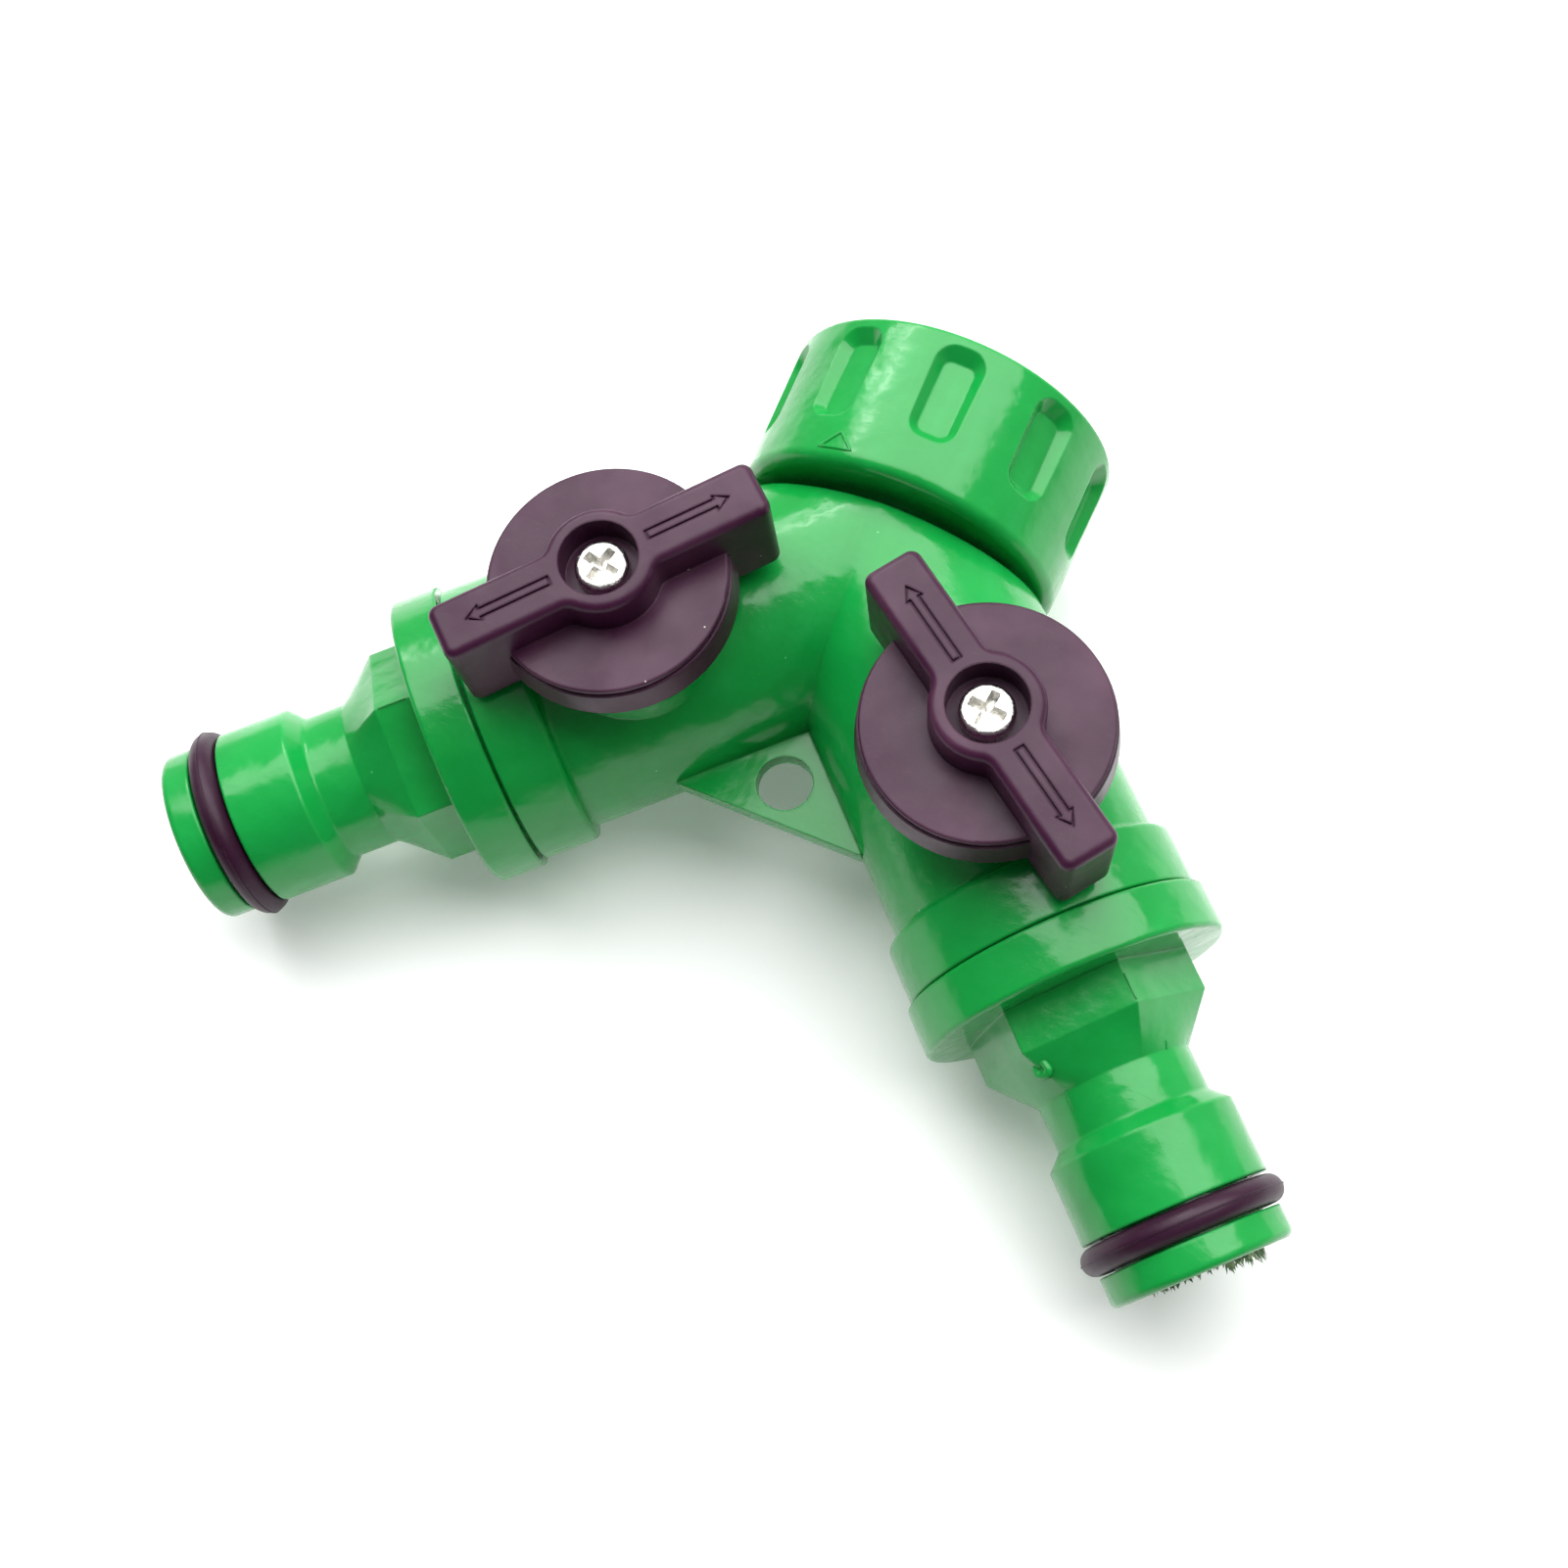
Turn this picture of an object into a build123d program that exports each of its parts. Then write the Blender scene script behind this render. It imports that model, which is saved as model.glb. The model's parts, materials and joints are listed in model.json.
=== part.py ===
from build123d import *
from math import cos, radians, sin
import os

# Two-way garden hose splitter with a ball valve on each branch.
# Millimetres, +Z up. The inlet axis is +Y, and the origin is the centre of the inlet washer's
# sealing face, where the tap's spout seats. The branches leave towards -Y, left and right of it.

# Overall layout
CROSSING_Y = -9.9             # where the two branch axes cross the inlet axis
BRANCH_ANGLE = 45.6           # between each branch and the -Y direction, degrees
VALVE_S = 24.9                # valve axis, along the branch from the crossing
SIDES = {"left": -1, "right": 1}
HANDLE_TURN = {"left": 4.7, "right": 9.3}    # lever away from its branch axis, degrees
HEX_CLOCKING = {"left": 5.5, "right": -17.0}  # a hex corner away from the top, degrees
EDGE = 0.2                    # small easing on moulded edges
OVERCUT = 1.0                 # how far a cut runs past the face it opens

# Casing
TUBE_R = 12.8
CASING_TOP_Y = -7.9           # flat end of the two tubes, under the nut
CASING_EDGE = 0.8
COLLAR_R = 14.0
COLLAR_BACK_S = 35.0
COLLAR_FRONT_S = 41.0
COLLAR_FOOT = 0.5             # inside rounding where the collar meets the tube
COLLAR_EDGE = 0.6
COLLAR_LEDGE = 0.8            # the inner part of the joint face stands proud of the rim
SEAM_GAP = 0.25
INLET_BORE_R = 6.5
BRANCH_BORE_R = 5.0
CHAMBER_R = 8.6
CHAMBER_HALF = 9.4            # the chamber's half length about the valve axis
COUNTERBORE_R = 10.5
WEB_TOP_Z = 1.1
WEB_BOTTOM_Z = -0.9
WEB_BASE_Y = CROSSING_Y - 27.4
WEB_HALF = 9.6
HANG_HOLE_Y = CROSSING_Y - 23.5
HANG_HOLE_R = 2.7
BOSS_R = 9.0
BOSS_TOP_Z = 16.4

# Inlet spigot, nut and washer
SPIGOT_R = 10.0
SPIGOT_TOP_Y = -2.5
LIP_R = 11.5
LIP_Y = -4.45
LIP_LAND = 0.35
LIP_THICK = 1.25
WASHER_R = 11.7
WASHER_HOLE_R = 6.8
NUT_REAR_Y = -7.1
NUT_WALL_Y = -4.7             # inside face of the nut's rear wall
NUT_MOUTH_Y = 8.6
NUT_REAR_R = 16.5
NUT_MOUTH_R = 16.95
NUT_REAR_EDGE = 1.2
NUT_MOUTH_EDGE = 0.5
NUT_HOLE_R = 10.3
NUT_LINER_R = 14.8            # outside of the threaded liner, inside the grip shell
LINER_OVERLAP = 0.4
RELIEF_R = 13.32              # inside radius behind the thread
RELIEF_EDGE = 0.4
THREAD_MINOR_R = 12.3         # G3/4 female thread, with the flattened crests of a moulded nut
THREAD_MAJOR_R = 13.22
THREAD_PITCH = 1.814
THREAD_START_Y = -1.4
THREAD_RUN = 10.2             # length of the groove's path, out through the mouth
THREAD_ROOT_HALF = 0.08
THREAD_CREST_HALF = 0.63
THREAD_PROUD = 0.3            # the cutter stands this far inside the minor radius
THREAD_END_Y = 7.7            # the countersink starts here
MOUTH_R = 13.52
MOUTH_LEAD = 0.6              # the countersink's cone reaches this much further, inside the bore
POCKET_COUNT = 10
POCKET_FIRST = 7.0            # first pocket away from the top, degrees
POCKET_REAR_Y = -1.5          # rear end of the pocket's floor
POCKET_FRONT_Y = 6.2          # front end of the pocket's floor
POCKET_WIDTH = 3.0            # at the floor
POCKET_CORNER = 0.8
POCKET_FLOOR_R = 15.7
POCKET_CLEAR = 3.0            # the cutter's height, out through the shell
POCKET_TAPER = 46.0           # slope of the pocket's walls, degrees

# Outlet connector, along the branch from the crossing
FLANGE_R = 14.56
FLANGE_FRONT_S = 45.6
FLANGE_EDGE = 0.45
HEX_R = 10.75
HEX_FRONT_S = 49.6
NECK_R = 7.2
NECK_BACK_S = 53.6
NECK_FRONT_S = 57.7
BARREL_R = 8.65
BARREL_BACK_S = 59.05
GROOVE_BACK_S = 65.85
GROOVE_FRONT_S = 68.75
GROOVE_R = 6.9
TIP_R = 8.4
TIP_S = 71.55
TIP_EDGE = 0.7
OUTLET_BORE_R = 4.6
OUTLET_COUNTERSINK = 1.0
JOINT_SPIGOT_R = 10.35
JOINT_SPIGOT_S = VALVE_S + CHAMBER_HALF
JOINT_GROOVE_S = 37.2
JOINT_GROOVE_R = 8.9
JOINT_GROOVE_HALF = 1.0
NOSE_RING_R = 1.25
JOINT_RING_R = 0.78

# Ball, seats and stem
BALL_R = 8.0
SEAT_GAP = 0.1
SEAT_R = 8.5
SEAT_BORE_R = 5.2
SEAT_BORE_LENGTH = 2.0        # the connector's bore narrows after this, over the same length again
SEAT_FACE = 5.2               # the seat's front edge, from the valve axis
SLOT_WIDTH = 3.0
SLOT_FLOOR_Z = 5.6
TANG_WIDTH = 2.8
TANG_LENGTH = 7.0
TANG_BOTTOM_Z = 5.8
SHOULDER_R = 4.4
SHOULDER_Z = 8.2
SHOULDER_TOP_Z = 9.3
SHOULDER_GAP = 0.2
STEM_R = 3.2
STEM_BORE_R = 3.25
STEM_GROOVE_R = 2.2
STEM_GROOVE_HALF = 0.6
STEM_GROOVES_Z = {"lower": 11.2, "upper": 14.0}
STEM_RING_R = 0.5
STEM_RING_GAP = 0.02
STEM_SHAFT_TOP_Z = 16.6
STEM_SQUARE = 4.4
STEM_TOP_Z = 19.9
PILOT_R = 1.45
PILOT_BOTTOM_Z = 11.0

# Handle and its screw
SKIRT_Z = 17.0
SKIRT_R = 11.3
SKIRT_TOP_R = 10.95
RIM_Z = 20.3                  # the disc's thin rim starts here, above a fine groove
RIM_GROOVE = 0.25
DISC_R = 10.75
DISC_TOP_Z = 20.9
CAVITY_TOP_Z = 19.2
CAVITY_R = 9.9
HUB_R = 4.9
HUB_BLEND = 1.4               # rounding where the hub ring meets the lever bar
WELL_R = 3.5
WELL_FLOOR_Z = 21.9
LEVER_TOP_Z = 24.9
LEVER_BOTTOM_Z = 15.2
LEVER_HALF = 15.3
LEVER_WIDTH = 5.4
LEVER_CORNER = 1.0
LEVER_EDGE = 0.8
SOCKET = 4.5
SOCKET_TOP_Z = 20.0
SCREW_HOLE_R = 1.6
SCREW_HEAD_R = 2.4
SCREW_HEAD_HEIGHT = 1.7
SCREW_HEAD_EDGE = 0.6
SCREW_SHANK_R = 1.4
SCREW_TIP_R = 0.3
SCREW_POINT = 2.0
SCREW_TIP_Z = 12.0
RECESS_TURN = 30.0
RECESS_LENGTH = 3.3
RECESS_WIDTH = 0.85
RECESS_DEPTH = 1.3
RECESS_TAPER = 14.0
ARROW_DEPTH = 0.25
ARROW_LINE = 0.2
ARROW_TAIL = 4.5
ARROW_NECK = 11.0
ARROW_TIP = 12.5
ARROW_SHAFT_HALF = 0.5
ARROW_BARB_HALF = 0.85

# Quarter-turn stops under the handle: a fixed sector on the boss and a rib in the handle.
# Together they leave a quarter turn and 1.5 degrees of clearance at each limit.
STOP_INNER_R = 5.7
STOP_OUTER_R = 8.3
STOP_TOP_Z = 18.9
STOP_ROOT = 0.5
STOP_SWEEP = 150.0
STOP_MIDDLE = 45.0            # halfway round the quarter turn
RIB_BOTTOM_Z = 16.75
RIB_SWEEP = 117.0


def branch_dir(side):
    """Unit direction of a branch, from the crossing outwards."""
    return Vector(side * sin(radians(BRANCH_ANGLE)), -cos(radians(BRANCH_ANGLE)), 0)


def branch_point(side, s, z=0.0):
    """Point at distance s along a branch axis, raised by z."""
    return Vector(0, CROSSING_Y, z) + branch_dir(side) * s


def branch_axis(side):
    return Axis(branch_point(side, 0), branch_dir(side))


def branch_plane(side):
    """Plane that holds the branch axis: local x runs along it, local y is up."""
    outward = branch_dir(side)
    return Plane(origin=branch_point(side, 0), x_dir=outward, z_dir=outward.cross(Vector(0, 0, 1)))


def cross_plane(side, s):
    """Plane across the branch at distance s: local x is up."""
    return Plane(origin=branch_point(side, s), x_dir=(0, 0, 1), z_dir=branch_dir(side))


def valve_plane(side, z, turn=0.0):
    """Level plane on the valve axis: local x is the branch direction, turned about +Z."""
    along = branch_dir(side).rotate(Axis.Z, turn)
    return Plane(origin=branch_point(side, VALVE_S, z), x_dir=along, z_dir=(0, 0, 1))


def valve_section(side):
    """Upright plane through the valve axis: local x is radial, local y is height."""
    along = branch_dir(side)
    return Plane(origin=branch_point(side, VALVE_S), x_dir=along, z_dir=along.cross(Vector(0, 0, 1)))


def valve_axis(side):
    return Axis(branch_point(side, VALVE_S), (0, 0, 1))


def outline(*corners):
    """Closed outline through (x, y) corners; a third value rounds that corner."""
    with BuildSketch() as face:
        with BuildLine():
            FilletPolyline(
                *[corner[:2] for corner in corners],
                radius=[corner[2] if len(corner) == 3 else 0 for corner in corners],
                close=True,
            )
        make_face()
    return face.sketch


def ring_sector(inner, outer, middle, sweep):
    """Ring sector about the local origin, centred on the angle `middle`."""
    start = middle - sweep / 2
    with BuildSketch() as sector:
        with BuildLine():
            arc_out = CenterArc((0, 0), outer, start, sweep)
            arc_in = CenterArc((0, 0), inner, start, sweep)
            Line(arc_out @ 0, arc_in @ 0)
            Line(arc_out @ 1, arc_in @ 1)
        make_face()
    return sector.sketch


def save(piece, label):
    """Label a finished piece and write it as its own node."""
    piece.part.label = label
    export_step(piece.part, f"parts/{label}.step")


def make_body():
    """Y casing: two tubes mitred on the symmetry plane, collars, spigot, web and valve bosses."""
    with BuildPart() as body:
        # one tube and its collar, cut at the mitre, and its mirror image
        with BuildSketch(branch_plane(1)):
            add(
                outline(
                    (-2 * TUBE_R, 0),
                    (-2 * TUBE_R, TUBE_R),
                    (COLLAR_BACK_S, TUBE_R, COLLAR_FOOT),
                    (COLLAR_BACK_S, COLLAR_R, COLLAR_EDGE),
                    (COLLAR_FRONT_S - SEAM_GAP, COLLAR_R, EDGE),
                    (COLLAR_FRONT_S - SEAM_GAP, COLLAR_R - COLLAR_LEDGE),
                    (COLLAR_FRONT_S, COLLAR_R - COLLAR_LEDGE),
                    (COLLAR_FRONT_S, 0),
                )
            )
        revolve(axis=branch_axis(1))
        split(bisect_by=Plane.YZ, keep=Keep.TOP)
        mirror(about=Plane.YZ)

        # flat end under the nut, with its edge eased
        with BuildSketch(Plane.XZ.offset(-CASING_TOP_Y)):
            Rectangle(6 * TUBE_R, 4 * TUBE_R)
        extrude(amount=-4 * TUBE_R, mode=Mode.SUBTRACT)
        end_face = body.faces().sort_by(Axis.Y)[-1]
        fillet(end_face.edges(), CASING_EDGE)

        # inlet spigot with the snap lip that holds the nut
        with BuildSketch(Plane.XY):
            add(
                outline(
                    (0, CROSSING_Y),
                    (SPIGOT_R, CROSSING_Y),
                    (SPIGOT_R, LIP_Y),
                    (LIP_R, LIP_Y),
                    (LIP_R, LIP_Y + LIP_LAND),
                    (SPIGOT_R, LIP_Y + LIP_THICK),
                    (SPIGOT_R, SPIGOT_TOP_Y, EDGE),
                    (0, SPIGOT_TOP_Y),
                )
            )
        revolve(axis=Axis.Y)

        # triangular hanging web in the crotch
        with BuildSketch(Plane.XY.offset(WEB_BOTTOM_Z)):
            add(
                outline(
                    (0, CROSSING_Y - TUBE_R),
                    (-WEB_HALF, WEB_BASE_Y),
                    (WEB_HALF, WEB_BASE_Y),
                )
            )
            with Locations((0, HANG_HOLE_Y)):
                Circle(HANG_HOLE_R, mode=Mode.SUBTRACT)
        extrude(amount=WEB_TOP_Z - WEB_BOTTOM_Z)

        # valve bosses and their fixed stop sectors
        for side in SIDES.values():
            with BuildSketch(valve_plane(side, TUBE_R / 2)):
                Circle(BOSS_R)
            extrude(amount=BOSS_TOP_Z - TUBE_R / 2)
            with BuildSketch(valve_plane(side, BOSS_TOP_Z - STOP_ROOT)):
                add(ring_sector(STOP_INNER_R, STOP_OUTER_R, STOP_MIDDLE, STOP_SWEEP))
            extrude(amount=STOP_TOP_Z - BOSS_TOP_Z + STOP_ROOT)

        # waterways: inlet bore, a round junction, stepped branch bores and the stem bores
        with BuildSketch(Plane.XZ.offset(-SPIGOT_TOP_Y)):
            Circle(INLET_BORE_R)
        extrude(amount=SPIGOT_TOP_Y - CROSSING_Y, mode=Mode.SUBTRACT)
        with Locations((0, CROSSING_Y, 0)):
            Sphere(INLET_BORE_R, mode=Mode.SUBTRACT)
        for side in SIDES.values():
            with BuildSketch(branch_plane(side)):
                add(
                    outline(
                        (0, 0),
                        (0, BRANCH_BORE_R),
                        (VALVE_S - CHAMBER_HALF, BRANCH_BORE_R),
                        (VALVE_S - CHAMBER_HALF, CHAMBER_R),
                        (VALVE_S + CHAMBER_HALF, CHAMBER_R),
                        (VALVE_S + CHAMBER_HALF, COUNTERBORE_R),
                        (COLLAR_FRONT_S + OVERCUT, COUNTERBORE_R),
                        (COLLAR_FRONT_S + OVERCUT, 0),
                    )
                )
            revolve(axis=branch_axis(side), mode=Mode.SUBTRACT)
            with BuildSketch(valve_section(side)):
                add(
                    outline(
                        (0, 0),
                        (SHOULDER_R + SHOULDER_GAP, 0),
                        (SHOULDER_R + SHOULDER_GAP, SHOULDER_TOP_Z + SHOULDER_GAP),
                        (STEM_BORE_R, SHOULDER_TOP_Z + SHOULDER_GAP),
                        (STEM_BORE_R, BOSS_TOP_Z + OVERCUT),
                        (0, BOSS_TOP_Z + OVERCUT),
                    )
                )
            revolve(axis=valve_axis(side), mode=Mode.SUBTRACT)
    save(body, "body")


def make_thread_groove():
    """Helical groove that cuts the female thread, running out at the relief and at the mouth."""
    path = Helix(
        pitch=THREAD_PITCH,
        height=THREAD_RUN,
        radius=THREAD_MINOR_R,
        center=(0, THREAD_START_Y, 0),
        direction=(0, 1, 0),
    )
    start = path @ 0
    depth = THREAD_MAJOR_R - THREAD_MINOR_R
    with BuildPart() as groove:
        with BuildSketch(Plane(origin=start, x_dir=(start.X, 0, start.Z), z_dir=path % 0)):
            add(
                outline(
                    (-THREAD_PROUD, THREAD_CREST_HALF),
                    (depth, THREAD_ROOT_HALF),
                    (depth, -THREAD_ROOT_HALF),
                    (-THREAD_PROUD, -THREAD_CREST_HALF),
                )
            )
        sweep(path=path, is_frenet=True)
    return groove.part


def make_coupling_nut():
    """Coupling nut: G3/4 thread, rear wall that turns on the spigot, and open grip pockets."""
    groove = make_thread_groove()
    with BuildPart() as coupling_nut:
        # threaded liner, its mouth countersunk after the thread is cut
        with BuildSketch(Plane.XZ):
            Circle(NUT_LINER_R)
            Circle(THREAD_MINOR_R, mode=Mode.SUBTRACT)
        extrude(amount=-NUT_MOUTH_Y)
        add(groove, mode=Mode.SUBTRACT)
        with BuildSketch(Plane.XY):
            add(
                outline(
                    (THREAD_MINOR_R - OVERCUT, THREAD_END_Y - MOUTH_LEAD),
                    (MOUTH_R, NUT_MOUTH_Y),
                    (MOUTH_R, NUT_MOUTH_Y + OVERCUT),
                    (THREAD_MINOR_R - OVERCUT, NUT_MOUTH_Y + OVERCUT),
                )
            )
        revolve(axis=Axis.Y, mode=Mode.SUBTRACT)

        # outer shell with the rear wall and the relief behind the thread
        with BuildSketch(Plane.XY):
            add(
                outline(
                    (NUT_HOLE_R, NUT_REAR_Y, EDGE),
                    (NUT_REAR_R, NUT_REAR_Y, NUT_REAR_EDGE),
                    (NUT_MOUTH_R, NUT_MOUTH_Y, NUT_MOUTH_EDGE),
                    (NUT_LINER_R - LINER_OVERLAP, NUT_MOUTH_Y),
                    (NUT_LINER_R - LINER_OVERLAP, 0),
                    (RELIEF_R, 0),
                    (RELIEF_R, NUT_WALL_Y, RELIEF_EDGE),
                    (NUT_HOLE_R, NUT_WALL_Y),
                )
            )
        revolve(axis=Axis.Y)

        # grip pockets: closed at both ends, with a flat floor and sloping walls
        for k in range(POCKET_COUNT):
            angle = radians(POCKET_FIRST + k * 360 / POCKET_COUNT)
            outward = Vector(sin(angle), 0, cos(angle))
            middle = Vector(0, (POCKET_REAR_Y + POCKET_FRONT_Y) / 2, 0)
            floor = Plane(origin=middle + outward * POCKET_FLOOR_R, x_dir=(0, 1, 0), z_dir=outward)
            with BuildSketch(floor):
                RectangleRounded(POCKET_FRONT_Y - POCKET_REAR_Y, POCKET_WIDTH, POCKET_CORNER)
            extrude(amount=POCKET_CLEAR, taper=-POCKET_TAPER, mode=Mode.SUBTRACT)
    save(coupling_nut, "coupling_nut")


def make_inlet_washer():
    with BuildPart() as inlet_washer:
        with BuildSketch(Plane.XZ):
            Circle(WASHER_R)
            Circle(WASHER_HOLE_R, mode=Mode.SUBTRACT)
        extrude(amount=-SPIGOT_TOP_Y)
    save(inlet_washer, "inlet_washer")


def make_outlet_connector(name, side):
    """Flange, hex and quick-connect nose, with the joint spigot that screws into the collar."""
    with BuildPart() as outlet_connector:
        # hex, whose six sides run down into the round neck
        with BuildSketch(cross_plane(side, COLLAR_FRONT_S)):
            RegularPolygon(HEX_R, 6, rotation=HEX_CLOCKING[name])
        extrude(amount=HEX_FRONT_S - COLLAR_FRONT_S)
        with BuildSketch(cross_plane(side, HEX_FRONT_S)):
            RegularPolygon(HEX_R, 6, rotation=HEX_CLOCKING[name])
        with BuildSketch(cross_plane(side, NECK_BACK_S)):
            with BuildLine():
                for k in range(6):
                    CenterArc((0, 0), NECK_R, HEX_CLOCKING[name] + 60 * k, 60)
            make_face()
        loft(ruled=True)

        # joint spigot with its seal groove, flange, neck, barrel, O-ring groove and tip
        with BuildSketch(branch_plane(side)):
            add(
                outline(
                    (JOINT_SPIGOT_S, 0),
                    (JOINT_SPIGOT_S, JOINT_SPIGOT_R, 2 * EDGE),
                    (JOINT_GROOVE_S - JOINT_GROOVE_HALF, JOINT_SPIGOT_R),
                    (JOINT_GROOVE_S - JOINT_GROOVE_HALF, JOINT_GROOVE_R),
                    (JOINT_GROOVE_S + JOINT_GROOVE_HALF, JOINT_GROOVE_R),
                    (JOINT_GROOVE_S + JOINT_GROOVE_HALF, JOINT_SPIGOT_R),
                    (COLLAR_FRONT_S, JOINT_SPIGOT_R),
                    (COLLAR_FRONT_S, FLANGE_R, EDGE),
                    (FLANGE_FRONT_S, FLANGE_R, FLANGE_EDGE),
                    (FLANGE_FRONT_S, NECK_R),
                    (NECK_FRONT_S, NECK_R, 2 * EDGE),
                    (BARREL_BACK_S, BARREL_R, 2 * EDGE),
                    (GROOVE_BACK_S, BARREL_R, EDGE),
                    (GROOVE_BACK_S, GROOVE_R),
                    (GROOVE_FRONT_S, GROOVE_R),
                    (GROOVE_FRONT_S, TIP_R, EDGE),
                    (TIP_S, TIP_R, TIP_EDGE),
                    (TIP_S, 0),
                )
            )
        revolve(axis=branch_axis(side))

        # water passage
        with BuildSketch(branch_plane(side)):
            add(
                outline(
                    (JOINT_SPIGOT_S - OVERCUT, 0),
                    (JOINT_SPIGOT_S - OVERCUT, SEAT_BORE_R),
                    (JOINT_SPIGOT_S + SEAT_BORE_LENGTH, SEAT_BORE_R),
                    (JOINT_SPIGOT_S + 2 * SEAT_BORE_LENGTH, OUTLET_BORE_R),
                    (TIP_S - OUTLET_COUNTERSINK / 2, OUTLET_BORE_R),
                    (TIP_S + OUTLET_COUNTERSINK / 2, OUTLET_BORE_R + OUTLET_COUNTERSINK),
                    (TIP_S + OUTLET_COUNTERSINK / 2, 0),
                )
            )
        revolve(axis=branch_axis(side), mode=Mode.SUBTRACT)
    save(outlet_connector, f"{name}_outlet_connector")


def make_branch_ring(label, side, s, middle_r, section_r):
    """O-ring about a branch axis."""
    with BuildPart() as ring:
        with BuildSketch(branch_plane(side)):
            with Locations((s, middle_r)):
                Circle(section_r)
        revolve(axis=branch_axis(side))
    save(ring, label)


def make_seat(label, side, direction):
    """Seat ring beside the ball; direction is -1 towards the inlet and 1 towards the outlet."""
    cup_r = BALL_R + SEAT_GAP
    lip_r = (cup_r**2 - SEAT_FACE**2) ** 0.5
    cup_depth = (cup_r**2 - SEAT_BORE_R**2) ** 0.5
    middle = cup_r * sin(radians(45))
    with BuildPart() as seat:
        with BuildSketch(branch_plane(side)):
            with BuildLine():
                ThreePointArc(
                    (VALVE_S + direction * cup_depth, SEAT_BORE_R),
                    (VALVE_S + direction * middle, middle),
                    (VALVE_S + direction * SEAT_FACE, lip_r),
                )
                Polyline(
                    (VALVE_S + direction * SEAT_FACE, lip_r),
                    (VALVE_S + direction * SEAT_FACE, SEAT_R),
                    (VALVE_S + direction * CHAMBER_HALF, SEAT_R),
                    (VALVE_S + direction * CHAMBER_HALF, SEAT_BORE_R),
                    (VALVE_S + direction * cup_depth, SEAT_BORE_R),
                )
            make_face()
        revolve(axis=branch_axis(side))
    save(seat, label)


def make_ball(name, side):
    """Ported ball with the stem's slot across its top, square to the port."""
    turn = HANDLE_TURN[name]
    with BuildPart() as ball:
        with Locations(branch_point(side, VALVE_S)):
            Sphere(BALL_R)
        port = valve_plane(side, 0, turn)
        with BuildSketch(Plane(origin=port.origin, x_dir=(0, 0, 1), z_dir=port.x_dir)):
            Circle(BRANCH_BORE_R)
        extrude(amount=BALL_R, both=True, mode=Mode.SUBTRACT)
        with BuildSketch(valve_plane(side, SLOT_FLOOR_Z, turn)):
            Rectangle(SLOT_WIDTH, 2 * BALL_R)
        extrude(amount=BALL_R, mode=Mode.SUBTRACT)
    save(ball, f"{name}_ball")


def make_stem(name, side):
    """Stem: tang in the ball, shoulder under the boss, two seal grooves and a square top."""
    turn = HANDLE_TURN[name]
    profile = [(0, SHOULDER_Z), (SHOULDER_R, SHOULDER_Z), (SHOULDER_R, SHOULDER_TOP_Z)]
    profile.append((STEM_R, SHOULDER_TOP_Z))
    for groove_z in STEM_GROOVES_Z.values():
        profile += [
            (STEM_R, groove_z - STEM_GROOVE_HALF),
            (STEM_GROOVE_R, groove_z - STEM_GROOVE_HALF),
            (STEM_GROOVE_R, groove_z + STEM_GROOVE_HALF),
            (STEM_R, groove_z + STEM_GROOVE_HALF),
        ]
    profile += [(STEM_R, STEM_SHAFT_TOP_Z), (0, STEM_SHAFT_TOP_Z)]
    with BuildPart() as stem:
        with BuildSketch(valve_section(side)):
            add(outline(*profile))
        revolve(axis=valve_axis(side))
        with BuildSketch(valve_plane(side, TANG_BOTTOM_Z, turn)):
            Rectangle(TANG_WIDTH, TANG_LENGTH)
        extrude(amount=SHOULDER_Z - TANG_BOTTOM_Z)
        with BuildSketch(valve_plane(side, STEM_SHAFT_TOP_Z, turn)):
            Rectangle(STEM_SQUARE, STEM_SQUARE)
        extrude(amount=STEM_TOP_Z - STEM_SHAFT_TOP_Z)
        with BuildSketch(valve_plane(side, PILOT_BOTTOM_Z)):
            Circle(PILOT_R)
        extrude(amount=STEM_TOP_Z - PILOT_BOTTOM_Z, mode=Mode.SUBTRACT)
    save(stem, f"{name}_stem")


def make_stem_seal(name, side, level):
    with BuildPart() as stem_seal:
        with BuildSketch(valve_section(side)):
            with Locations((STEM_GROOVE_R + STEM_RING_R + STEM_RING_GAP, STEM_GROOVES_Z[level])):
                Circle(STEM_RING_R)
        revolve(axis=valve_axis(side))
    save(stem_seal, f"{name}_{level}_stem_seal")


def arrow_points(direction, inset):
    """Corners of an arrow along the lever that points away from the hub, drawn in by `inset`."""
    tail = (ARROW_TAIL + inset) * direction
    neck = (ARROW_NECK + inset) * direction
    tip = (ARROW_TIP - 2 * inset) * direction
    shaft = ARROW_SHAFT_HALF - inset
    barb = ARROW_BARB_HALF - inset
    lower = [(tail, -shaft), (neck, -shaft), (neck, -barb)]
    upper = [(neck, barb), (neck, shaft), (tail, shaft)]
    return [*lower, (tip, 0), *upper]


def arrow_line(direction):
    """Thin closed line round an arrow, as a sketch."""
    with BuildSketch() as arrow:
        add(outline(*arrow_points(direction, 0)))
        add(outline(*arrow_points(direction, ARROW_LINE)), mode=Mode.SUBTRACT)
    return arrow.sketch


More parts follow.
